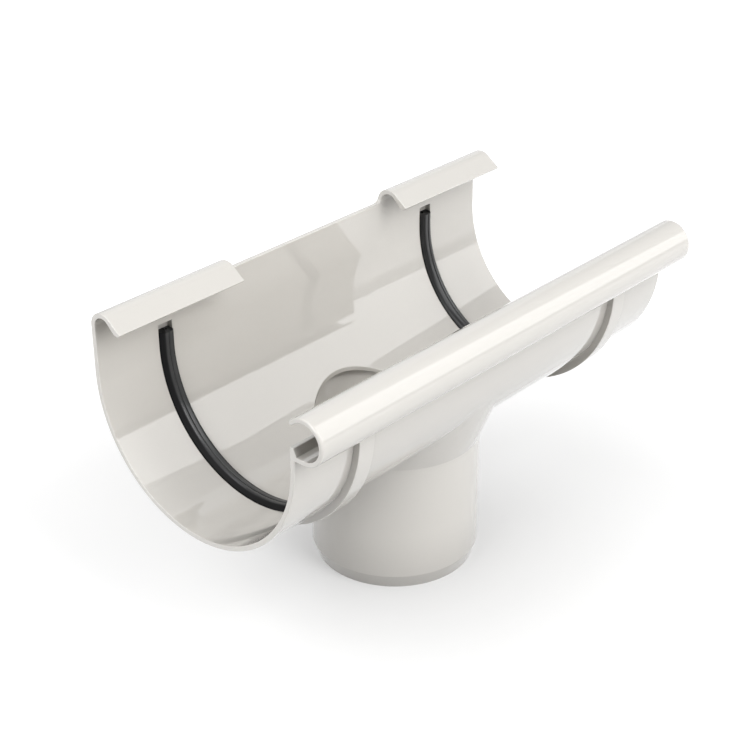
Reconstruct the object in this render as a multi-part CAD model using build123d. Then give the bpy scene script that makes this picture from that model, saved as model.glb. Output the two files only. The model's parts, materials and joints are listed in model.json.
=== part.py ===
"""Half-round gutter outlet for a 125 mm gutter and a 90 mm downpipe.

A short length of trough takes the two gutter ends. Each end lies on a rubber
seal in a groove, under a hook at the rear and over an open bead at the front.
The floor opens into a hollow collar and a spigot that goes into the downpipe.

Frame, in millimetres: X along the gutter, +Y to the wall of the house, +Z up.
The origin is on the spigot's axis, in the plane of its lower rim.
"""
from math import acos, atan2, cos, hypot, radians, sin, sqrt, tan
import os

from build123d import *

# Trough
length = 282.0
trough_inner_r = 63.75
wall = 2.6
axis_height = 138.2
rear_wall_rise = 24.7
end_edge = 0.4

# Rear hooks, one at each end
hook_length = 80.5
hook_inner_r = 5.5
hook_rise = 25.4
hook_flap_angle = 36.0
hook_throat_angle = 44.0
hook_flap_run = 9.6
hook_throat_run = 5.3
hook_root_fillet = 3.0

# Front bead, an open tube outside the front wall
bead_inner_r = 9.1
bead_wall = 2.4
bead_out = 72.0
bead_rise = 15.5
bead_tip_angle = 45.0
front_lip_rise = 10.4
front_lip_top = 2.1
front_lip_base = 3.8

# Seal grooves and the bands outside them
groove_from_end = 43.0
groove_width = 9.0
groove_depth = 3.65
groove_rear_rise = 11.1
band_width = 10.5
band_edge_r = 0.6

# Seals
seal_side_clearance = 0.15
seal_seat_clearance = 0.05
seal_front_gap = 1.4
seal_rear_gap = 4.3
seal_stand = 2.8
seal_shoulder = 0.9
seal_crest = 3.4
seal_channel_width = 1.2
seal_channel_depth = 0.8

# Outlet: hole in the floor, hollow collar, spigot
spigot_r = 45.0
spigot_wall = 2.7
spigot_lead = 2.3
spigot_lead_height = 7.7
spigot_root = 0.15
spigot_root_height = 1.6
collar_foot = 73.0
collar_roof = 1.75
collar_sink = 0.2

trough_outer_r = trough_inner_r + wall
half_length = length / 2
groove_centre = half_length - groove_from_end
front_floor = bead_rise - bead_inner_r - bead_wall
groove_outer_r = trough_inner_r + groove_depth
band_outer_r = groove_outer_r + wall
groove_front_rise = front_floor - wall
bore_r = spigot_r - spigot_wall

# The collar rises from its foot to lie along the trough's outer face, just inside it, at the front and rear
collar_rise = axis_height - collar_foot
collar_reach = hypot(spigot_r, collar_rise)
collar_meets = trough_outer_r - collar_sink
collar_angle = atan2(collar_rise, spigot_r) - acos(collar_meets / collar_reach)
collar_top = collar_foot + sqrt(collar_reach**2 - collar_meets**2) * cos(collar_angle)


section_plane = Plane(origin=(0, 0, axis_height), x_dir=(0, 1, 0), z_dir=(1, 0, 0))


def polar(centre, distance, angle):
    """Point at a distance from another, in a direction given in degrees from +Y towards +Z."""
    a = radians(angle)
    return (centre[0] + distance * cos(a), centre[1] + distance * sin(a))


def trough_section():
    """Section of the whole moulding across the gutter, from the front bead round to the rear hook."""
    ri, ro = trough_inner_r, trough_outer_r
    hook = (ri - hook_inner_r, hook_rise)
    hook_outer_r = hook_inner_r + wall
    throat = polar(hook, hook_inner_r, 90 + hook_throat_angle)
    throat_end = polar(throat, hook_throat_run, 180 + hook_throat_angle)
    crest = polar(hook, hook_outer_r, 90 + hook_flap_angle)
    flap_tip = polar(crest, hook_flap_run, 180 + hook_flap_angle)
    throat_way = polar((0, 0), 1, 180 + hook_throat_angle)

    bead = (-bead_out, bead_rise)
    bead_outer_r = bead_inner_r + bead_wall
    tip_in = polar(bead, bead_inner_r, bead_tip_angle)
    tip_out = polar(bead, bead_outer_r, bead_tip_angle)
    tip_middle = polar(bead, bead_inner_r + bead_wall / 2, bead_tip_angle)
    tip_end = polar(tip_middle, bead_wall / 2, bead_tip_angle - 90)
    bead_floor = bead_rise - bead_inner_r

    with BuildSketch(section_plane) as section:
        with BuildLine():
            # Inner face: front wall, floor, rear wall, curl and throat of the hook
            Line((-ri, front_lip_rise), (-ri, 0))
            ThreePointArc((-ri, 0), (0, -ri), (ri, 0))
            Line((ri, 0), (ri, hook_rise))
            ThreePointArc((ri, hook_rise), polar(hook, hook_inner_r, 60), throat)
            Line(throat, throat_end)
            TangentArc(throat_end, flap_tip, tangent=throat_way)
            # Outer face: flap, crest, rear wall, floor, front wall
            Line(flap_tip, crest)
            ThreePointArc(crest, polar(hook, hook_outer_r, 60), (ro, hook_rise))
            Line((ro, hook_rise), (ro, 0))
            ThreePointArc((ro, 0), (0, -ro), (-ro, 0))
            Line((-ro, 0), (-ro, front_floor))
            # Bead: under it, round its outside, over its tip and back inside
            Line((-ro, front_floor), (-bead_out, front_floor))
            ThreePointArc((-bead_out, front_floor), polar(bead, bead_outer_r, 160), tip_out)
            ThreePointArc(tip_out, tip_end, tip_in)
            ThreePointArc(tip_in, polar(bead, bead_inner_r, 160), (-bead_out, bead_floor))
            Line((-bead_out, bead_floor), (-ri - front_lip_base, bead_floor))
            # Tapered lip of the front wall inside the bead
            Line((-ri - front_lip_base, bead_floor), (-ri - front_lip_top, front_lip_rise))
            Line((-ri - front_lip_top, front_lip_rise), (-ri, front_lip_rise))
        make_face()
    return section.sketch


def hook_gap():
    """The space between the two hooks, down to the top of the rear wall, with rounded lower corners."""
    width = length - 2 * hook_length
    bottom = axis_height + rear_wall_rise
    top = axis_height + hook_rise + 2 * (hook_inner_r + wall)
    reach = trough_outer_r + wall
    with BuildSketch(Plane.XZ.offset(-reach)) as gap:
        with Locations((0, (bottom + top) / 2)):
            Rectangle(width, top - bottom)
        fillet(gap.vertices().sort_by(Axis.Y)[:2], hook_root_fillet)
    return extrude(gap.sketch, amount=reach)


def along_trough(profile, front_rise, rear_rise):
    """Carries a profile, drawn as (x, distance from the axis), round the floor and up both walls.

    The two rises give the level of its square ends, over the trough's axis."""
    axis = Axis((0, 0, axis_height), (1, 0, 0))
    leg = max(front_rise, rear_rise, wall)
    upright = Plane(origin=(0, 0, axis_height), x_dir=(1, 0, 0), z_dir=(0, -1, 0)) * profile
    at_rear = upright.rotate(axis, -90)
    at_front = upright.rotate(axis, 90)
    strip = revolve(at_rear, axis, -180)
    strip += extrude(at_rear, amount=leg, dir=(0, 0, 1))
    strip += extrude(at_front, amount=leg, dir=(0, 0, 1))
    reach = 2 * band_outer_r
    for way, rise in ((-1, front_rise), (1, rear_rise)):
        over = Location((0, way * reach / 2, axis_height + rise + reach / 2))
        strip -= over * Box(reach, reach, reach)
    return strip


def band_profile():
    """A flat band with slightly rounded outer edges, sunk into the trough's wall by half the wall."""
    foot = trough_outer_r - wall / 2
    with BuildSketch() as profile:
        with Locations((0, (foot + band_outer_r) / 2)):
            Rectangle(band_width, band_outer_r - foot)
        fillet(profile.vertices().sort_by(Axis.Y)[2:], band_edge_r)
    return profile.sketch


def groove_profile():
    """The square seal groove, open to the inside of the trough."""
    mouth = trough_inner_r - wall / 2
    with BuildSketch() as profile:
        with Locations((0, (mouth + groove_outer_r) / 2)):
            Rectangle(groove_width, groove_outer_r - mouth)
    return profile.sketch


def seal_profile():
    """A rubber strip: a block that fills the groove, with a shouldered crest that has a channel down its middle."""
    seat = groove_outer_r - seal_seat_clearance
    flush = trough_inner_r
    top = trough_inner_r - seal_stand
    half = groove_width / 2 - seal_side_clearance
    right_side = [
        (half, seat),
        (half, flush),
        (half - seal_shoulder, flush - seal_stand / 2),
        (seal_crest / 2 + seal_channel_width / 2, top),
        (seal_channel_width / 2, top),
        (0, top + seal_channel_depth),
    ]
    left_side = [(-x, r) for x, r in reversed(right_side[:-1])]
    with BuildSketch() as profile:
        with BuildLine():
            Polyline(*right_side, *left_side, close=True)
        make_face()
    return profile.sketch


def trough_block(radius):
    """The whole space within a given distance of the trough's axis, floor and both walls, up past the top."""
    top = 2 * hook_rise
    with BuildSketch(section_plane) as block:
        with BuildLine():
            Line((-radius, top), (-radius, 0))
            ThreePointArc((-radius, 0), (0, -radius), (radius, 0))
            Line((radius, 0), (radius, top))
            Line((radius, top), (-radius, top))
        make_face()
    return extrude(block.sketch, amount=half_length, both=True)


def turned(points):
    """A solid turned about the spigot's axis from (radius, height) points."""
    with BuildSketch(Plane.XZ) as half:
        with BuildLine():
            Polyline(*points, close=True)
        make_face()
    return revolve(half.sketch, Axis.Z)


def outlet_outside():
    """Spigot with its tapered lead and slightly thicker root, and the collar that widens up to the trough."""
    spread = (collar_top - collar_foot) * tan(collar_angle)
    return turned([
        (0, 0),
        (spigot_r - spigot_lead, 0),
        (spigot_r, spigot_lead_height),
        (spigot_r, collar_foot - spigot_root_height),
        (spigot_r + spigot_root, collar_foot),
        (spigot_r + spread, collar_top),
        (0, collar_top),
    ])


def collar_hollow():
    """The hollow of the collar: an even wall inside its slope, and a thin roof under the trough's floor."""
    slope = tan(collar_angle)
    inner_foot = collar_foot + spigot_wall * (1 / cos(collar_angle) - 1) / slope
    spread = (collar_top - inner_foot) * slope
    cone = turned([
        (0, inner_foot),
        (bore_r, inner_foot),
        (bore_r + spread, collar_top),
        (0, collar_top),
    ])
    return cone - trough_block(trough_inner_r + collar_roof)


def bore():
    """The straight hole from under the spigot up through the floor of the trough."""
    return turned([(0, -wall), (bore_r, -wall), (bore_r, axis_height), (0, axis_height)])


def at_groove(side, strip):
    """Moves a strip from the middle to the groove on one side."""
    return Location((side * groove_centre, 0, 0)) * strip


def outlet_body():
    """The one-piece moulding."""
    band = along_trough(band_profile(), front_floor, groove_rear_rise + wall)
    groove = along_trough(groove_profile(), groove_front_rise, groove_rear_rise)
    body = extrude(trough_section(), amount=half_length, both=True) - hook_gap()
    for side in (-1, 1):
        body += at_groove(side, band)
    body += outlet_outside() - trough_block(trough_inner_r)
    body -= collar_hollow()
    body -= bore()
    for side in (-1, 1):
        body -= at_groove(side, groove)
    return body.chamfer(end_edge, None, end_edges(body))


def end_edges(body):
    """All edges round the two end faces, where the moulding is eased by a small chamfer."""
    faces = body.faces().sort_by(Axis.X)
    return faces[0].edges() + faces[-1].edges()


def seal(side):
    """One rubber seal, in the groove on the given side, a little short of the groove's two ends."""
    strip = along_trough(seal_profile(), groove_front_rise - seal_front_gap, groove_rear_rise - seal_rear_gap)
    return at_groove(side, strip)


os.makedirs("parts", exist_ok=True)
export_step(outlet_body(), "parts/outlet_body.step")
export_step(seal(-1), "parts/seal_left.step")
export_step(seal(1), "parts/seal_right.step")
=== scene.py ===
"""Half-round gutter outlet: white plastic moulding with two black rubber seals.

Shapes are worked out in millimetres and become metres when a mesh is made. x runs along the gutter. In a
section across it, y runs to the wall of the house and h is the height over the trough's axis.
"""
import json
import math

import bmesh
import bpy
import numpy as np
from mathutils import Matrix, Vector


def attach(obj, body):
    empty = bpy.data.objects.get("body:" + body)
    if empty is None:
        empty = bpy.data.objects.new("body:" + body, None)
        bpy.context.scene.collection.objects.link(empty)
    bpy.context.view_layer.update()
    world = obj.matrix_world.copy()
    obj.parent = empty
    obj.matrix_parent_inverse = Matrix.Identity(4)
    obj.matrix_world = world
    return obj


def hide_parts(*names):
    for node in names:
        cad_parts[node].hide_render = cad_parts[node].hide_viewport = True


MM = 0.001

# Trough
TROUGH_R = 63.75
WALL = 2.6
REAR_TOP = 24.7
OUTER_R = TROUGH_R + WALL

# Rear hooks, one at each end
HOOK_START = 60.5
HOOK_ROOT = 3.0
HOOK_R = 5.5
HOOK_CENTRE = (TROUGH_R - HOOK_R, 25.4)
HOOK_THROAT_ANGLE = 44.0
HOOK_THROAT_RUN = 5.3
HOOK_FLAP_ANGLE = 36.0
HOOK_FLAP_RUN = 9.6

# Front bead and the lip inside it
BEAD_CENTRE = (-72.0, 15.5)
BEAD_R = 9.1
BEAD_WALL = 2.4
BEAD_TIP_ANGLE = 45.0
BEAD_UNDER = BEAD_CENTRE[1] - BEAD_R - BEAD_WALL
LIP_TOP = 10.4
LIP_TOP_WIDTH = 2.1
LIP_FOOT_WIDTH = 3.8

# Bands outside the trough, and the seal grooves inside it
BAND_START = 92.75
BAND_END = 103.25
BAND_R = 70.0
BAND_TOP = 13.7
GROOVE_START = 93.5
GROOVE_END = 102.5
GROOVE_R = 67.4
GROOVE_FRONT = 1.4
GROOVE_REAR = 11.1

# Spigot, collar and its hollow, heights over the spigot's rim
LEAD = 2.3
LEAD_HEIGHT = 7.7
ROOT_START = 71.4
ROOT_SWELL = 0.15
COLLAR_FOOT = 73.0
COLLAR_SINK = 0.2
SPIGOT_WALL = 2.7
ROOF = 1.75

# Seals: profile from the side that faces the gutter's end, as (x, height over the trough's inner face).
# Each cut takes a share off both ends of every side of the profile, which rounds its corners
SEAL_REAR = 6.8
SEAL_SEAT = -3.6
SEAL_PROFILE = (
    (-4.35, -2.2), (-4.35, -0.4), (-3.75, 0.6), (-2.45, 2.0), (-1.8, 2.4), (-1.1, 2.5), (-0.3, 2.43),
    (-0.12, 1.8), (0.12, 1.8), (0.3, 2.4), (1.3, 2.45), (2.6, 2.25), (3.5, 1.7), (4.15, 0.7),
    (4.35, -0.6), (4.35, -2.2),
)
SEAL_BORE = (0.95, -1.8)
SEAL_BORE_R = 1.0
SEAL_CORNER_CUTS = 2
SEAL_CORNER_SHARE = 0.25

# Fineness of the meshes. The patch is the floor round the hole, which has its own faces: it starts some
# steps in from the section's arcs. The rooms keep a row of points close to a crease, so that the shading
# bends only there
ARC_STEPS = 96
BEAD_STEPS = 36
TIP_STEPS = 16
HOOK_STEPS = 18
HOOK_ROOT_POINTS = 7
FLAP_STEPS = 10
COLLAR_STEPS = 4
ROOF_STEPS = 6
PATCH_SKIP = 6
PATCH_X = 52.0
PATCH_STEPS = 20
RING_STEPS = 14
CREASE_ROOM = 0.8
HOOK_ROOM = 1.0
MERGE = 0.004

# Rounded edges: radii in millimetres, and in degrees the bead's fade and the turns up to which an edge is
# smooth and past which it is rounded. At the bead's ends only what lies past a share of the wall, counted
# from inside, is rounded more. The edge of the hollow's roof is known by its nearness to roof and bore
EDGE_ROUND = 0.42
FOOT_ROUND_SHARE = 0.3
BEAD_END_ROUND = 1.3
BEAD_END_FADE = 85.0
BEAD_OUTSIDE = 0.9
ROOF_EDGE_NEAR = ROOF / 4
HOLE_ROOM = 1.0
SEAL_EDGE_ROUND = 0.15
ROUND_SEGMENTS = 3
SMOOTH_BELOW = 12.0
ROUND_ABOVE = 24.0

# Camera: place in metres, angles in degrees, lens and sensor in millimetres
CAMERA_PLACE = (-0.573571, -0.503523, 0.519026)
CAMERA_AZIMUTH = -47.94
CAMERA_ELEVATION = 28.575
CAMERA_ROLL = -0.184
CAMERA_LENS = 80.47
CAMERA_SENSOR = 36.0

# Noises of both materials: scale per metre and detail
PLASTIC_FLOW = (9.0, 2.0)
PLASTIC_HAZE = (38.0, 4.0)
PLASTIC_PEEL = (420.0, 2.0)
RUBBER_HAZE = (60.0, 3.0)
RUBBER_PORES = (900.0, 3.0)
RUBBER_STREAKS = (1600.0, 3.0)

# White plastic. Painted shade: a greyer tone in creases and hollows, reaching this many metres out of them
PLASTIC_COLOURS = ((0.705, 0.682, 0.641, 1), (0.734, 0.710, 0.667, 1))
PLASTIC_PAINTED_CREASE_SHADE = (0.37, 0.355, 0.334, 1)
PAINTED_SHADE_REACH = 0.035
PAINTED_SHADE_SAMPLES = 8
PLASTIC_IOR = 1.5
PLASTIC_ROUGH = 0.03
PLASTIC_HAZE_ROUGH = 0.04
PLASTIC_COAT_ROUGH = 0.02
PLASTIC_PEEL_DEPTH = 0.04

# Black rubber. The polished crest begins at one place round the profile, in metres, and past another it
# loses a share of its polish, each over the same blend. The crest also bears a painted highlight, a lighter
# colour that dims past the second place as painted shade. Haze and streaks lighten that painted highlight
# and roughen it
RUBBER_BLACK_AND_PAINTED_HIGHLIGHT = ((0.006, 0.006, 0.0065, 1), (0.060, 0.061, 0.063, 1))
CREST_FROM = 0.0104
CREST_TO = 0.0155
CREST_BLEND = 0.0011
CREST_LOSS = 0.6
CREST_PAINTED_HIGHLIGHT = 0.2
HAZE_LIGHT = 0.3
STREAKS_LIGHT = 0.7
RUBBER_IOR = 1.22
RUBBER_ROUGH = 0.46
CREST_POLISH = 0.10
HAZE_ROUGH = 0.06
STREAKS_ROUGH = 0.08
CREST_COAT = 0.75
CREST_COAT_ROUGH = 0.16
CREST_COAT_IOR = 1.5
RUBBER_GRAIN_DEPTH = 0.2

# Bumps: what a depth of one stands for, in metres
BUMP_DEPTH = 0.0001

BLACK = (0, 0, 0, 1)
WHITE = (1, 1, 1, 1)

# Lamps: name, direction to the lamp (azimuth, elevation in degrees), width and height in metres, watts.
# They stand at one distance from the place they point at
LAMPS = (
    ("lamp_front", 0.0, 32.5, 0.9, 1.7, 25.5),
    ("lamp_left", -90.0, 32.5, 0.9, 1.7, 18.0),
    ("lamp_rear_left", -135.0, 57.5, 0.9, 1.7, 10.5),
    ("lamp_front_right", 44.0, 31.5, 1.15, 1.7, 8.3),
    ("lamp_rear_right", 135.0, 32.5, 0.9, 1.7, 1.6),
)
LAMP_DISTANCE = 1.8
LAMPS_POINT_AT = (0, 0, 0.1)

# Floor: half its size, the reach of its glow and the spread of its shade in metres, and its colour, glow and
# shade as shares of white
FLOOR_HALF = 6.0
FLOOR_COLOUR = 0.50
FLOOR_ROUGH = 0.9
FLOOR_GLOW = 0.775
FLOOR_FAR = 1.4
FOOT_SHADE = 0.42
FOOT_SHADE_SPREAD = 0.12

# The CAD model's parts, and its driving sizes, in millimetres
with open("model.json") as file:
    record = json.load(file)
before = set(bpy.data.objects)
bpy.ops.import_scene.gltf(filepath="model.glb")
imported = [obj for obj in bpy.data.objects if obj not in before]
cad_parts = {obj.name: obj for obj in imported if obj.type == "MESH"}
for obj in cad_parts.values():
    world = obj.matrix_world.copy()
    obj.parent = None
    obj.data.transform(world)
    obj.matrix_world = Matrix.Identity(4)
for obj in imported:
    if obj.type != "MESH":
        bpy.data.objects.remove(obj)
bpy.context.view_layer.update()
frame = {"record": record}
mounts = {mount["name"]: mount for mount in frame["record"]["mounts"]}
spigot_r = mounts["downpipe_spigot"]["dims"]["r_mm"]
bore_r = mounts["outlet_bore"]["dims"]["r_mm"]
axis_height = mounts["gutter_end_right"]["pos_m"][2] / MM
half_length = mounts["gutter_end_right"]["pos_m"][0] / MM


def polar(centre, distance, angle):
    """Point at a distance from another, in a direction given in degrees from +y towards +h."""
    a = math.radians(angle)
    return (centre[0] + distance * math.cos(a), centre[1] + distance * math.sin(a))


def arc(centre, radius, start, end, steps):
    """Points of an arc: the centre plus the radius turned from one angle to the other in even steps."""
    a = np.radians(np.linspace(start, end, steps + 1))
    return np.stack((centre[0] + radius * np.cos(a), centre[1] + radius * np.sin(a)), 1)


def face_outwards(mesh, merge=None):
    """Joins points that are closer than a distance, where one is given, and turns every face outwards."""
    work = bmesh.new()
    work.from_mesh(mesh)
    if merge:
        bmesh.ops.remove_doubles(work, verts=work.verts, dist=merge)
    bmesh.ops.recalc_face_normals(work, faces=work.faces)
    work.to_mesh(mesh)
    work.free()


class Shell:
    """Collects patches of points and faces, and welds them into one closed mesh where their borders meet."""

    def __init__(self):
        self.points = []
        self.faces = []
        self.count = 0

    def patch(self, grid, keep=None):
        """A grid of points, with a four-sided face in each of its cells, or in each that is kept."""
        rows, columns = grid.shape[:2]
        index = self.count + np.arange(rows * columns).reshape(rows, columns)
        cells = np.stack((index[:-1, :-1], index[1:, :-1], index[1:, 1:], index[:-1, 1:]), -1)
        cells = cells.reshape(-1, 4) if keep is None else cells[keep]
        self.faces.extend(cells.tolist())
        self.points.append(grid.reshape(-1, 3))
        self.count += rows * columns

    def flat(self, ring):
        """One flat face with this ring of points round it, less those that repeat the point before."""
        ring = ring[np.linalg.norm(ring - np.roll(ring, 1, axis=0), axis=1) > MERGE]
        self.faces.append((self.count + np.arange(len(ring))).tolist())
        self.points.append(ring)
        self.count += len(ring)

    def mesh(self, name):
        """All patches as one mesh. Points closer than a hair are joined, which closes the seams."""
        mesh = bpy.data.meshes.new(name)
        mesh.from_pydata((np.concatenate(self.points) * MM).tolist(), [], self.faces)
        face_outwards(mesh, MERGE * MM)
        return mesh


def edge_turns(mesh):
    """For each edge of a closed mesh: how far its two faces turn, in degrees, whether it sticks out, and its
    middle, in millimetres.

    The turn is the angle between the faces' normals. The edge sticks out where the middle of its smaller
    face lies behind the plane of its larger one."""
    sides = np.empty(len(mesh.loops), int)
    mesh.loops.foreach_get("edge_index", sides)
    totals, areas = np.empty(len(mesh.polygons), int), np.empty(len(mesh.polygons))
    normals, middles = np.empty(len(mesh.polygons) * 3), np.empty(len(mesh.polygons) * 3)
    mesh.polygons.foreach_get("loop_total", totals)
    mesh.polygons.foreach_get("area", areas)
    mesh.polygons.foreach_get("normal", normals)
    mesh.polygons.foreach_get("center", middles)
    normals, middles = normals.reshape(-1, 3), middles.reshape(-1, 3)
    owner = np.repeat(np.arange(len(totals)), totals)
    pair = owner[np.argsort(sides, kind="stable")].reshape(-1, 2)
    pair = np.take_along_axis(pair, np.argsort(areas[pair], axis=1), axis=1)
    small, large = pair.T
    turn = np.degrees(np.arccos(np.clip((normals[small] * normals[large]).sum(1), -1, 1)))
    ends, places = np.empty(len(mesh.edges) * 2, int), np.empty(len(mesh.vertices) * 3)
    mesh.edges.foreach_get("vertices", ends)
    mesh.vertices.foreach_get("co", places)
    edge_middle = places.reshape(-1, 3)[ends.reshape(-1, 2)].mean(1)
    sticks_out = (normals[large] * (middles[small] - edge_middle)).sum(1) < 0
    return turn, sticks_out, edge_middle / MM


def finish_edges(piece, weight, width):
    """Rounds the edges that have a weight with a small bevel, and keeps the other sharp edges crisp."""
    mesh = piece.data
    turn, sticks_out, middle = edge_turns(mesh)
    amount = np.where(sticks_out & (turn > ROUND_ABOVE), weight(middle), 0.0)
    mesh.shade_smooth()
    mesh.attributes.new("bevel_weight_edge", "FLOAT", "EDGE").data.foreach_set("value", amount)
    sharp = mesh.attributes.get("sharp_edge") or mesh.attributes.new("sharp_edge", "BOOLEAN", "EDGE")
    sharp.data.foreach_set("value", (turn > SMOOTH_BELOW) & (amount == 0))
    bevel = piece.modifiers.new("rounded_edges", "BEVEL")
    bevel.limit_method = "WEIGHT"
    bevel.offset_type = "OFFSET"
    bevel.width = width * MM
    bevel.segments = ROUND_SEGMENTS
    bevel.use_clamp_overlap = False
    bevel.harden_normals = True


def wall_section(inner, outer):
    """Closed section of trough, lip and bead: down the inner face, up the outer one, round the bead.

    It has the same points whatever the radii. Where the inner radius is the groove's, the inner face steps
    back between the groove's ends, and where the outer one is the band's, the outer face steps out."""
    tip = polar(BEAD_CENTRE, BEAD_R + BEAD_WALL / 2, BEAD_TIP_ANGLE)
    turn = BEAD_TIP_ANGLE
    return np.concatenate((
        [(-TROUGH_R, LIP_TOP), (-TROUGH_R, GROOVE_FRONT), (-inner, GROOVE_FRONT)],
        arc((0, 0), inner, 180, 360, ARC_STEPS),
        [(inner, GROOVE_REAR), (TROUGH_R, GROOVE_REAR), (TROUGH_R, REAR_TOP)],
        [(OUTER_R, REAR_TOP), (OUTER_R, BAND_TOP), (outer, BAND_TOP)],
        arc((0, 0), outer, 360, 180, ARC_STEPS),
        [(-outer, BEAD_UNDER), (-BAND_R, BEAD_UNDER)],
        arc(BEAD_CENTRE, BEAD_R + BEAD_WALL, 270, turn, BEAD_STEPS),
        arc(tip, BEAD_WALL / 2, turn, turn - 180, TIP_STEPS)[1:-1],
        arc(BEAD_CENTRE, BEAD_R, turn, 270, BEAD_STEPS),
        [(-TROUGH_R - LIP_FOOT_WIDTH, BEAD_CENTRE[1] - BEAD_R), (-TROUGH_R - LIP_TOP_WIDTH, LIP_TOP)],
    ))


# Which point of the wall's section starts its inner arc, its top at the rear and its outer arc
INNER_ARC = 3
REAR_CORNER = INNER_ARC + ARC_STEPS + 3
OUTER_ARC = REAR_CORNER + 4


def hook_section():
    """Section of the hook: inner top corner of the wall, curl, throat, flap, crest, outer top corner.

    Its first and last points climb to the top of the rounded corner at the hook's root. The throat bends
    into the flap's tip as an arc: each point is a chord from the throat's end, turned by its share of the
    angle between throat and tip, and as long as the sine of that share asks."""
    y, h = HOOK_CENTRE
    lean = np.radians(np.linspace(0, 90, HOOK_ROOT_POINTS))
    low = REAR_TOP + HOOK_ROOT * (1 - np.cos(lean))
    over = np.maximum(low - h, 0)
    start = HOOK_START - HOOK_ROOT + HOOK_ROOT * np.sin(lean)
    inner_r, outer_r = HOOK_R, HOOK_R + WALL
    low_inner = np.stack((y + np.sqrt(inner_r ** 2 - over ** 2), low), 1)
    low_outer = np.stack((y + np.sqrt(outer_r ** 2 - over ** 2), low), 1)
    inner_from, outer_from = (math.degrees(math.asin(over[-1] / r)) for r in (inner_r, outer_r))
    throat = polar(HOOK_CENTRE, inner_r, 90 + HOOK_THROAT_ANGLE)
    throat_end = np.array(polar(throat, HOOK_THROAT_RUN, 180 + HOOK_THROAT_ANGLE))
    crest = polar(HOOK_CENTRE, outer_r, 90 + HOOK_FLAP_ANGLE)
    chord = np.array(polar(crest, HOOK_FLAP_RUN, 180 + HOOK_FLAP_ANGLE)) - throat_end
    way = math.radians(180 + HOOK_THROAT_ANGLE)
    bend = math.remainder(math.atan2(chord[1], chord[0]) - way, 2 * math.pi)
    share = bend * np.linspace(0, 1, FLAP_STEPS + 1)[1:]
    reach = np.hypot(*chord) * np.sin(share) / math.sin(bend)
    flap = throat_end + np.stack((reach * np.cos(way + share), reach * np.sin(way + share)), 1)
    chain = np.concatenate((
        low_inner,
        arc(HOOK_CENTRE, inner_r, inner_from, 90 + HOOK_THROAT_ANGLE, HOOK_STEPS)[1:],
        [throat_end],
        flap,
        arc(HOOK_CENTRE, outer_r, 90 + HOOK_FLAP_ANGLE, outer_from, HOOK_STEPS)[:-1],
        low_outer[::-1],
    ))
    first = np.full(len(chain), HOOK_START)
    first[:HOOK_ROOT_POINTS] = start
    first[-HOOK_ROOT_POINTS:] = start[::-1]
    return chain, first


def cone_height(radius, height, slope, cylinder, side):
    """Height at which a cone about the spigot's axis first meets a cylinder about the trough's axis.

    The cone's radius grows evenly with height and the cylinder's is fixed. Put in one equation, the height
    is the lower root of a quadratic whose numbers depend on the sine of the angle round the spigot."""
    base = radius - height * slope
    a = 1 + (slope * side) ** 2
    b = 2 * (base * slope * side ** 2 - axis_height)
    c = axis_height ** 2 + (base * side) ** 2 - cylinder ** 2
    return (-b - np.sqrt(b * b - 4 * a * c)) / (2 * a)


def on_cylinder(place, radius):
    """Puts (x, angle from the lowest line) on a cylinder about the trough's axis."""
    x, angle = place[..., 0], place[..., 1]
    return np.stack((x, radius * np.sin(angle), axis_height - radius * np.cos(angle)), -1)


def round_spigot(rings, phi):
    """Puts rings of (radius, height) at angles about the spigot's axis."""
    radius, height = rings[..., 0], rings[..., 1]
    return np.stack((radius * np.cos(phi), radius * np.sin(phi), height), -1)


def blend(first, last, steps):
    """Rows that go evenly from one row of values to another."""
    share = np.linspace(0, 1, steps + 1)[:, None, None]
    return first + (last - first) * share


def level(radius, height, like):
    """A ring at one radius and height all round, or at heights that change round it."""
    return np.stack((np.broadcast_to(radius, like.shape), np.broadcast_to(height, like.shape)), 1)


def add_trough(shell):
    """Carries the section along the gutter, in steps at the bands and grooves, and closes both ends."""
    plain = wall_section(TROUGH_R, OUTER_R)
    band = wall_section(TROUGH_R, BAND_R)
    groove = wall_section(GROOVE_R, BAND_R)
    right = [(HOOK_START - HOOK_ROOT, plain), (HOOK_START + HOOK_ROOM, plain),
             (BAND_START, plain), (BAND_START, band), (GROOVE_START, band), (GROOVE_START, groove),
             (GROOVE_END, groove), (GROOVE_END, band), (BAND_END, band), (BAND_END, plain),
             (half_length, plain)]
    middle = [(x, plain) for x in np.linspace(-PATCH_X, PATCH_X, PATCH_STEPS + 1)]
    stations = [(-x, section) for x, section in right[::-1]] + middle + right
    xs = np.array([x for x, _ in stations])
    sections = np.array([np.vstack((section, section[:1])) for _, section in stations])
    grid = np.empty((*sections.shape[:2], 3))
    grid[..., 0] = xs[:, None]
    grid[..., 1] = sections[..., 0]
    grid[..., 2] = sections[..., 1] + axis_height
    keep = np.ones((grid.shape[0] - 1, grid.shape[1] - 1), bool)
    halfway = np.abs(xs[1:] + xs[:-1]) / 2
    keep[halfway > HOOK_START - HOOK_ROOT, REAR_CORNER] = False
    for start in (INNER_ARC, OUTER_ARC):
        keep[np.ix_(halfway < PATCH_X, range(start + PATCH_SKIP, start + ARC_STEPS - PATCH_SKIP))] = False
    shell.patch(grid, keep)
    return plain


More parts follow.
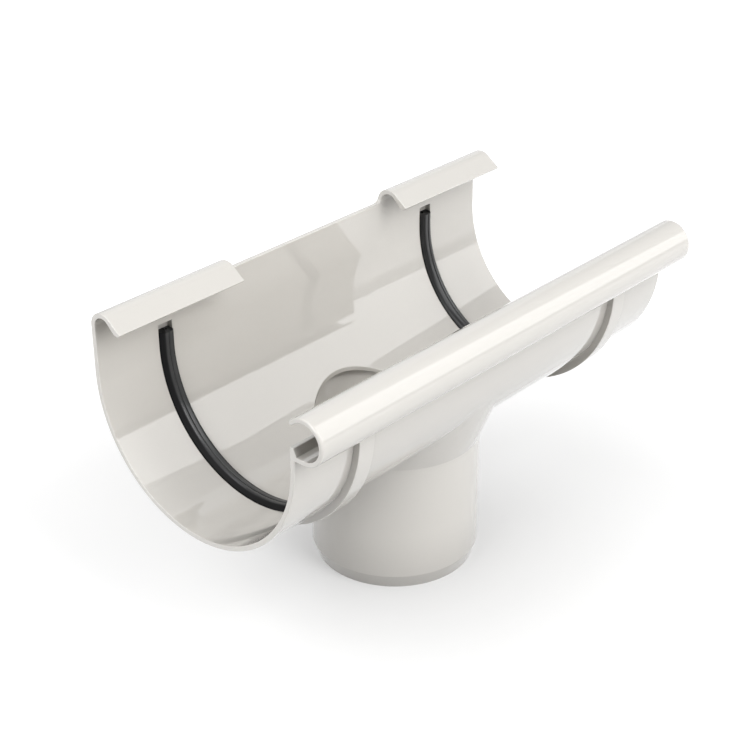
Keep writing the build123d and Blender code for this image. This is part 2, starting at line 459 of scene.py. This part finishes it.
def add_hooks(shell, plain):
    """Carries the hook's section from its root to each end, and closes its inner end and the gutter's."""
    chain, first = hook_section()
    along = np.array((HOOK_START + HOOK_ROOM, BAND_START, GROOVE_START, GROOVE_END, BAND_END, half_length))
    columns = np.concatenate((first[:, None], np.broadcast_to(along, (len(chain), len(along)))), 1)
    end = np.concatenate((plain[:REAR_CORNER], chain, plain[REAR_CORNER + 2:]))
    for side in (-1, 1):
        grid = np.empty((*columns.shape, 3))
        grid[..., 0] = side * columns
        grid[..., 1] = chain[:, None, 0]
        grid[..., 2] = chain[:, None, 1] + axis_height
        shell.patch(grid)
        shell.patch(np.stack((grid[:HOOK_ROOT_POINTS, 0], grid[:-HOOK_ROOT_POINTS - 1:-1, 0]), 1))
        shell.flat(grid[HOOK_ROOT_POINTS - 1:1 - HOOK_ROOT_POINTS, 0])
        across = np.full(len(end), side * half_length)
        shell.flat(np.column_stack((across, end[:, 0], end[:, 1] + axis_height)))


def patch_border():
    """Border of the patch of floor round the hole, once round, as (x, angle from the lowest line)."""
    angles = np.radians(np.linspace(-90, 90, ARC_STEPS + 1))[PATCH_SKIP:ARC_STEPS + 1 - PATCH_SKIP]
    along = np.linspace(-PATCH_X, PATCH_X, PATCH_STEPS + 1)
    return np.concatenate((
        np.stack((np.full(len(angles), PATCH_X), angles), 1)[:-1],
        np.stack((along[::-1], np.full(len(along), angles[-1])), 1)[:-1],
        np.stack((np.full(len(angles), -PATCH_X), angles[::-1]), 1)[:-1],
        np.stack((along, np.full(len(along), angles[0])), 1),
    ))


def collar_lean():
    """Angle of the collar from upright, and how far its outer face goes outwards for each step up.

    In the section across the gutter the collar is a line from the spigot's edge that touches a circle just
    inside the trough's outer face. Its angle from upright is how steeply the axis lies over that edge, less
    the angle whose cosine is the circle's radius over the distance to the axis. The outer face starts
    further out by the root's swell, and ends at the same point."""
    rise = axis_height - COLLAR_FOOT
    meets = OUTER_R - COLLAR_SINK
    lean = math.atan2(rise, spigot_r) - math.acos(meets / math.hypot(spigot_r, rise))
    run = math.sqrt(spigot_r ** 2 + rise ** 2 - meets ** 2)
    return lean, (run * math.sin(lean) - ROOT_SWELL) / (run * math.cos(lean))


def add_spigot(shell, border, phi):
    """Outside of spigot and collar, and the trough's outer face from there to the patch's border.

    Each line runs up the spigot at one angle, out along the collar's cone, and ends where the cone, or
    below it the root, meets the trough."""
    side, ahead = np.sin(phi), np.cos(phi)
    _, slope = collar_lean()
    swell = ROOT_SWELL / (COLLAR_FOOT - ROOT_START)
    on_root = cone_height(spigot_r, ROOT_START, swell, OUTER_R, side)
    on_collar = cone_height(spigot_r + ROOT_SWELL, COLLAR_FOOT, slope, OUTER_R, side)
    meet = np.where(on_root < COLLAR_FOOT, on_root, on_collar)
    crease = np.minimum(meet, COLLAR_FOOT)
    crease_r = spigot_r + (crease - ROOT_START) * swell
    meet_r = crease_r + (meet - crease) * slope
    spigot = [level(bore_r, 0, phi), level(spigot_r - LEAD, 0, phi)]
    spigot += [level(spigot_r, height, phi) for height in (
        LEAD_HEIGHT, LEAD_HEIGHT + CREASE_ROOM, axis_height / 4, ROOT_START - CREASE_ROOM, ROOT_START)]
    collar = blend(level(crease_r, crease, phi), level(meet_r, meet, phi), COLLAR_STEPS)
    shell.patch(round_spigot(np.concatenate((spigot, collar)), phi))
    meet_on_trough = np.stack((meet_r * ahead, np.arcsin(meet_r * side / OUTER_R)), 1)
    shell.patch(on_cylinder(blend(meet_on_trough, border, RING_STEPS), OUTER_R))


def add_bore(shell, border, phi):
    """The bore, the hollow inside the collar, the hole's edge, and the floor from there to the border.

    The hollow is a cone too, one wall inside the collar. It ends under a roof that follows the trough's
    floor. On the left and right the roof is lower than the cone's foot, and the hollow has no height."""
    side, ahead = np.sin(phi), np.cos(phi)
    lean, _ = collar_lean()
    slope = math.tan(lean)
    foot = COLLAR_FOOT + SPIGOT_WALL * (1 / math.cos(lean) - 1) / slope
    roof_r = TROUGH_R + ROOF
    roof_at_bore = axis_height - np.sqrt(roof_r ** 2 - (bore_r * side) ** 2)
    floor_at_bore = axis_height - np.sqrt(TROUGH_R ** 2 - (bore_r * side) ** 2)
    hollow_foot = np.minimum(foot, roof_at_bore)
    on_roof = cone_height(bore_r, foot, slope, roof_r, side)
    hollow_top = np.where(roof_at_bore > foot, on_roof, hollow_foot)
    hollow_r = bore_r + (hollow_top - hollow_foot) * slope
    bore = [level(bore_r, height, phi) for height in (0, axis_height / 4, hollow_foot)]
    shell.patch(round_spigot(np.stack(bore), phi))
    hollow = blend(bore[-1], level(hollow_r, hollow_top, phi), COLLAR_STEPS)
    shell.patch(round_spigot(hollow, phi))
    roof_out = np.stack((hollow_r * ahead, np.arcsin(hollow_r * side / roof_r)), 1)
    roof_in = np.stack((bore_r * ahead, np.arcsin(bore_r * side / roof_r)), 1)
    shell.patch(on_cylinder(blend(roof_out, roof_in, ROOF_STEPS), roof_r))
    hole_wall = np.stack((level(bore_r, roof_at_bore, phi), level(bore_r, floor_at_bore, phi)))
    shell.patch(round_spigot(hole_wall, phi))
    hole = np.stack((bore_r * ahead, np.arcsin(bore_r * side / TROUGH_R)), 1)
    shell.patch(on_cylinder(blend(hole, border, RING_STEPS), TROUGH_R))


def add_outlet(shell):
    """What lies inside the patch: spigot, collar and outer face outside, bore, hollow and floor inside."""
    border = patch_border()
    phi = np.arctan2(TROUGH_R * border[:, 1], border[:, 0])
    add_spigot(shell, border, phi)
    add_bore(shell, border, phi)


def moulding_edges(middle):
    """How much each outer edge of the moulding is rounded, as a share of the most.

    It is little at the thin rim of the spigot's foot, nothing round the edge of the hollow's roof, and most
    outside the bead's ends, where it fades evenly with the angle towards the bead's tip and its foot."""
    amount = np.full(len(middle), EDGE_ROUND / BEAD_END_ROUND)
    amount[middle[:, 2] < LEAD_HEIGHT / 2] *= FOOT_ROUND_SHARE
    y, h = middle[:, 1] - BEAD_CENTRE[0], middle[:, 2] - axis_height - BEAD_CENTRE[1]
    turned = np.degrees(np.arctan2(h, y)) % 360
    share = np.clip(np.minimum(turned - BEAD_TIP_ANGLE, 270 - turned) / BEAD_END_FADE, 0, 1)
    outside = np.hypot(y, h) > BEAD_R + BEAD_WALL * BEAD_OUTSIDE
    at_end = (np.abs(middle[:, 0]) > half_length - MERGE) & outside
    amount[at_end] += (share * (1 - EDGE_ROUND / BEAD_END_ROUND))[at_end]
    from_axis = np.hypot(middle[:, 1], middle[:, 2] - axis_height)
    from_spigot = np.hypot(middle[:, 0], middle[:, 1])
    on_roof = np.abs(from_axis - TROUGH_R - ROOF) < ROOF_EDGE_NEAR
    amount[on_roof & (from_spigot < bore_r + HOLE_ROOM)] = 0.0
    return amount


def add_object(name, data):
    """An object of a mesh, a camera or a lamp, put into the scene."""
    thing = bpy.data.objects.new(name, data)
    bpy.context.scene.collection.objects.link(thing)
    return thing


def make_piece(mesh, material, node):
    """An object of a finished mesh, which stands for a node of the frame and rides on the one body."""
    mesh.materials.append(material)
    piece = add_object(mesh.name, mesh)
    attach(piece, "root")
    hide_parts(node)
    return piece


def make_moulding():
    """The white plastic moulding, one closed surface."""
    shell = Shell()
    plain = add_trough(shell)
    add_hooks(shell, plain)
    add_outlet(shell)
    piece = make_piece(shell.mesh("white_moulding"), plastic_finish(), "outlet_body")
    finish_edges(piece, moulding_edges, BEAD_END_ROUND)


def seal_ring():
    """Closed profile of a seal, from the middle of its seat round and back, as (x, height over inner face).

    The outline's corners are cut off, at a share of each side from either end, and what is left is cut
    again, which rounds them towards a smooth curve. The seat stays flat."""
    near, far = 1 - SEAL_CORNER_SHARE, SEAL_CORNER_SHARE
    profile = np.array(SEAL_PROFILE)
    outline = np.vstack(((profile[0, 0], SEAL_SEAT), profile, (profile[-1, 0], SEAL_SEAT)))
    for _ in range(SEAL_CORNER_CUTS):
        before, after = outline[:-1], outline[1:]
        cut = np.stack((before * near + after * far, before * far + after * near), 1).reshape(-1, 2)
        outline = np.vstack((outline[:1], cut[1:-1], outline[-1:]))
    return np.vstack(((0, SEAL_SEAT), outline))


def carried(ring, side):
    """Carries a closed ring of (x, height over the inner face) down the rear wall and round to the front.

    Each point is turned about the trough's axis at its own radius. On the straight rear stretch it is
    lifted instead. The ring faces outwards at x below zero, so it is mirrored on the right."""
    angle = np.radians(np.concatenate(([90], np.linspace(90, -90, ARC_STEPS + 1))))
    lift = np.zeros(len(angle))
    lift[0] = SEAL_REAR
    radius = TROUGH_R - ring[:, 1]
    grid = np.empty((len(angle), len(ring), 3))
    grid[..., 0] = side * ((GROOVE_START + GROOVE_END) / 2 - ring[:, 0])
    grid[..., 1] = radius * np.sin(angle)[:, None]
    grid[..., 2] = axis_height + lift[:, None] - radius * np.cos(angle)[:, None]
    return grid


def make_seal(side, material):
    """A hollow rubber seal: its profile and its round bore carried along the groove, joined at both ends.

    A bore point lies in the direction of its outer point from the bore's centre, at the bore's radius.
    An attribute holds how far each point is round the profile."""
    ring = seal_ring()
    from_bore = ring - SEAL_BORE
    bore = SEAL_BORE + SEAL_BORE_R * from_bore / np.linalg.norm(from_bore, axis=1)[:, None]
    outside = carried(ring, side)
    inside = carried(bore, side)
    rows, columns = outside.shape[:2]
    loops = np.vstack((np.arange(rows * columns).reshape(rows, columns),
                       np.arange(rows * columns, 2 * rows * columns).reshape(rows, columns)[::-1],
                       np.arange(columns)))
    beside = np.roll(loops, -1, axis=1)
    cells = np.stack((loops[:-1], loops[1:], beside[1:], beside[:-1]), -1).reshape(-1, 4)
    points = np.concatenate((outside.reshape(-1, 3), inside.reshape(-1, 3)))
    name = "left" if side < 0 else "right"
    mesh = bpy.data.meshes.new("seal_strip_" + name)
    mesh.from_pydata((points * MM).tolist(), [], cells.tolist())
    steps = np.linalg.norm(np.diff(ring, axis=0, append=ring[:1]), axis=1)
    around = np.tile(np.cumsum(steps) - steps, 2 * rows) * MM
    mesh.attributes.new("around", "FLOAT", "POINT").data.foreach_set("value", around)
    face_outwards(mesh)
    piece = make_piece(mesh, material, "seal_" + name)
    finish_edges(piece, lambda middle: np.ones(len(middle)), SEAL_EDGE_ROUND)


def feed(tree, socket, value):
    """Links a value to a socket, or sets the socket's own number."""
    value = value.value if isinstance(value, Maths) else value
    if isinstance(value, bpy.types.NodeSocket):
        tree.links.new(value, socket)
    else:
        socket.default_value = value


class Maths:
    """A socket, or a number, that takes part in plain arithmetic by adding Math nodes."""

    def __init__(self, tree, value):
        self.tree = tree
        self.value = value

    def _with(self, operation, other):
        """What an operation makes of this value and another, as the output of a new Math node."""
        node = self.tree.nodes.new("ShaderNodeMath")
        node.operation = operation
        for socket, value in zip(node.inputs, (self, other)):
            feed(self.tree, socket, value)
        return Maths(self.tree, node.outputs[0])

    def __add__(self, other):
        return self._with("ADD", other)

    __radd__ = __add__

    def __mul__(self, other):
        return self._with("MULTIPLY", other)

    __rmul__ = __mul__

    def __sub__(self, other):
        return self._with("SUBTRACT", other)

    def __rsub__(self, other):
        return Maths(self.tree, other)._with("SUBTRACT", self)

    def __rpow__(self, other):
        return Maths(self.tree, other)._with("POWER", self)

    def most(self, limit):
        """This value, or the limit where the value is above it."""
        return self._with("MINIMUM", limit)


class Nodes:
    """A tree of nodes, and one method that adds any node to it."""

    def __init__(self, tree):
        self.tree = tree
        self.tree.nodes.clear()

    def node(self, kind, settings=None, sockets=None, out=0):
        """A node of a kind, its settings made first, then its sockets. Gives the output wanted, if any."""
        node = self.tree.nodes.new(kind)
        for key, value in (settings or {}).items():
            setattr(node, key, value)
        for key, value in (sockets or {}).items():
            feed(self.tree, node.inputs[key], value)
        result = node.outputs[out] if node.outputs else None
        return Maths(self.tree, result) if result and result.type == "VALUE" else result

    def noise(self, place, kind):
        """Soft noise between 0 and 1 at a place, of a scale and detail."""
        scale, detail = kind
        return self.node("ShaderNodeTexNoise", sockets={"Vector": place, "Scale": scale, "Detail": detail})

    def mix(self, share, first, last):
        """A colour that goes from the first to the last with the share."""
        return self.node("ShaderNodeMix", {"data_type": "RGBA"}, {"Factor": share, "A": first, "B": last}, 2)

    def step(self, value, start, width):
        """Rises smoothly from 0 to 1 over a width from a start."""
        return self.node("ShaderNodeMapRange", {"interpolation_type": "SMOOTHSTEP"},
                         {"Value": value, "From Min": start, "From Max": start + width})

    def bump(self, strength, height):
        """A normal tilted by a height, as far as the strength says."""
        return self.node("ShaderNodeBump",
                         sockets={"Strength": strength, "Distance": BUMP_DEPTH, "Height": height})

    def seen_rays(self):
        """One for the camera's rays, in reflections and through clear things, and otherwise nothing."""
        path = "ShaderNodeLightPath"
        seen = self.node(path, out="Is Camera Ray") + self.node(path, out="Is Glossy Ray")
        return (seen + self.node(path, out="Is Transmission Ray")).most(1.0)


class Finish(Nodes):
    """A material with a Principled shader."""

    def __init__(self, name):
        self.material = bpy.data.materials.new(name)
        self.material.use_nodes = True
        super().__init__(self.material.node_tree)
        surface = self.node("ShaderNodeBsdfPrincipled")
        self.shader = surface.node
        self.node("ShaderNodeOutputMaterial", sockets={"Surface": surface})

    def set(self, **sockets):
        """Values and links of the Principled shader's sockets, with spaces written as low lines."""
        for key, value in sockets.items():
            feed(self.tree, self.shader.inputs[key.replace("_", " ")], value)


def plastic_finish():
    """White gloss PVC: faint flow of colour, uneven gloss, and the fine orange-peel of a polished mould.

    Its colour also carries painted shade, a greyer tone in creases and hollows.
    """
    f = Finish("white_plastic")
    place = f.node("ShaderNodeTexCoord", out="Object")
    # Painted shade: an occlusion test greys the colour in creases and hollows, where less light reaches
    open_air_against_painted_shade = f.node("ShaderNodeAmbientOcclusion", {"samples": PAINTED_SHADE_SAMPLES},
                      {"Distance": PAINTED_SHADE_REACH}, "AO")
    colour = f.mix(f.noise(place, PLASTIC_FLOW), *PLASTIC_COLOURS)
    f.set(
        Base_Color=f.mix(open_air_against_painted_shade, PLASTIC_PAINTED_CREASE_SHADE, colour),
        Roughness=PLASTIC_ROUGH + f.noise(place, PLASTIC_HAZE) * PLASTIC_HAZE_ROUGH,
        IOR=PLASTIC_IOR,
        Coat_Weight=1.0,
        Coat_Roughness=PLASTIC_COAT_ROUGH,
        Coat_IOR=PLASTIC_IOR,
        Normal=f.bump(PLASTIC_PEEL_DEPTH, f.noise(place, PLASTIC_PEEL)),
    )
    return f.material


def rubber_finish():
    """Black rubber: dull flanks, a polished crest with fine drawn streaks along the strip, and pores.

    The crest's lighter colour is a painted highlight, which dims on its far side as painted shade.
    """
    f = Finish("black_rubber")
    place = f.node("ShaderNodeTexCoord", out="Object")
    around = f.node("ShaderNodeAttribute", {"attribute_name": "around"}, out="Fac")
    # The crest mask gives polish and, in the colour, a painted highlight; past the far side both dim, the
    # colour as painted shade
    far_side = f.step(around, CREST_TO, CREST_BLEND)
    crest = f.step(around, CREST_FROM, CREST_BLEND) * (1 - far_side * CREST_LOSS)
    scale, detail = RUBBER_STREAKS
    streaks = f.node("ShaderNodeTexNoise", {"noise_dimensions": "1D"},
                     {"W": around, "Scale": scale, "Detail": detail})
    haze = f.noise(place, RUBBER_HAZE)
    # Brightness of the painted highlight on the crest, varied by haze and streaks
    painted_highlight_tone = haze * HAZE_LIGHT + streaks * STREAKS_LIGHT + CREST_PAINTED_HIGHLIGHT
    f.set(
        Base_Color=f.mix(painted_highlight_tone * crest, *RUBBER_BLACK_AND_PAINTED_HIGHLIGHT),
        Roughness=RUBBER_ROUGH - crest * CREST_POLISH + haze * HAZE_ROUGH + streaks * STREAKS_ROUGH,
        IOR=RUBBER_IOR,
        Coat_Weight=crest * CREST_COAT,
        Coat_Roughness=CREST_COAT_ROUGH,
        Coat_IOR=CREST_COAT_IOR,
        Normal=f.bump(RUBBER_GRAIN_DEPTH, f.noise(place, RUBBER_PORES) + streaks),
    )
    return f.material


def floor_finish():
    """Pale matt floor that shows white to the camera where nothing shades it.

    Its glow rises to full strength far off, where the lamps no longer reach, less a shade that is deepest at
    the spigot's foot and dies away with distance."""
    f = Finish("pale_floor")
    place = f.node("ShaderNodeTexCoord", out="Object")
    away = f.node("ShaderNodeVectorMath", {"operation": "LENGTH"}, {0: place}, out="Value")
    shade = math.e ** ((away - spigot_r * MM) * (-1 / FOOT_SHADE_SPREAD))
    far_off = 1 - math.e ** (away * away * (-1 / FLOOR_FAR ** 2))
    strength = far_off * (1 - FLOOR_GLOW) + FLOOR_GLOW - shade * FOOT_SHADE
    f.set(
        Base_Color=(FLOOR_COLOUR, FLOOR_COLOUR, FLOOR_COLOUR, 1),
        Roughness=FLOOR_ROUGH,
        Specular_IOR_Level=0.0,
        Emission_Color=f.mix(strength, BLACK, WHITE),
        Emission_Strength=f.seen_rays(),
    )
    return f.material


def direction(azimuth, elevation):
    """Unit vector towards an azimuth, counted in degrees from the front to the right, and an elevation."""
    a, e = math.radians(azimuth), math.radians(elevation)
    return Vector((math.sin(a) * math.cos(e), -math.cos(a) * math.cos(e), math.sin(e)))


def make_camera():
    """Camera at the viewing place: looks along its azimuth and elevation, with a slight roll."""
    a, r = math.radians(CAMERA_AZIMUTH), math.radians(CAMERA_ROLL)
    back = direction(CAMERA_AZIMUTH, CAMERA_ELEVATION)
    right = Vector((math.cos(a), math.sin(a), 0))
    up = back.cross(right)
    turned = Matrix((right * math.cos(r) + up * math.sin(r), up * math.cos(r) - right * math.sin(r), back))
    data = bpy.data.cameras.new("camera")
    data.lens = CAMERA_LENS
    data.sensor_width = CAMERA_SENSOR
    camera = add_object("camera", data)
    camera.matrix_world = Matrix.Translation(CAMERA_PLACE) @ turned.transposed().to_4x4()
    bpy.context.scene.camera = camera


def make_lamps():
    """Soft upright lamps that all point at the middle of the object."""
    target = Vector(LAMPS_POINT_AT)
    for name, azimuth, elevation, width, height, watts in LAMPS:
        back = direction(azimuth, elevation)
        data = bpy.data.lights.new(name, "AREA")
        data.shape = "RECTANGLE"
        data.size = width
        data.size_y = height
        data.energy = watts
        lamp = add_object(name, data)
        lamp.location = target + back * LAMP_DISTANCE
        lamp.rotation_euler = back.to_track_quat("Z", "Y").to_euler()


def make_surroundings():
    """White to the camera and in reflections, and no light of its own."""
    world = bpy.data.worlds.new("studio")
    world.use_nodes = True
    sky = Nodes(world.node_tree)
    background = sky.node("ShaderNodeBackground", sockets={"Strength": sky.seen_rays()})
    sky.node("ShaderNodeOutputWorld", sockets={"Surface": background})
    bpy.context.scene.world = world


def make_floor():
    """One large square, level with the foot of the spigot."""
    edge = np.array([(-1, -1, 0), (1, -1, 0), (1, 1, 0), (-1, 1, 0)]) * FLOOR_HALF
    mesh = bpy.data.meshes.new("floor")
    mesh.from_pydata(edge.tolist(), [], [(0, 1, 2, 3)])
    mesh.materials.append(floor_finish())
    floor = add_object("floor", mesh)


make_moulding()
rubber = rubber_finish()
make_seal(-1, rubber)
make_seal(1, rubber)
make_floor()
make_camera()
make_lamps()
make_surroundings()
bpy.context.scene.view_settings.view_transform = "Standard"
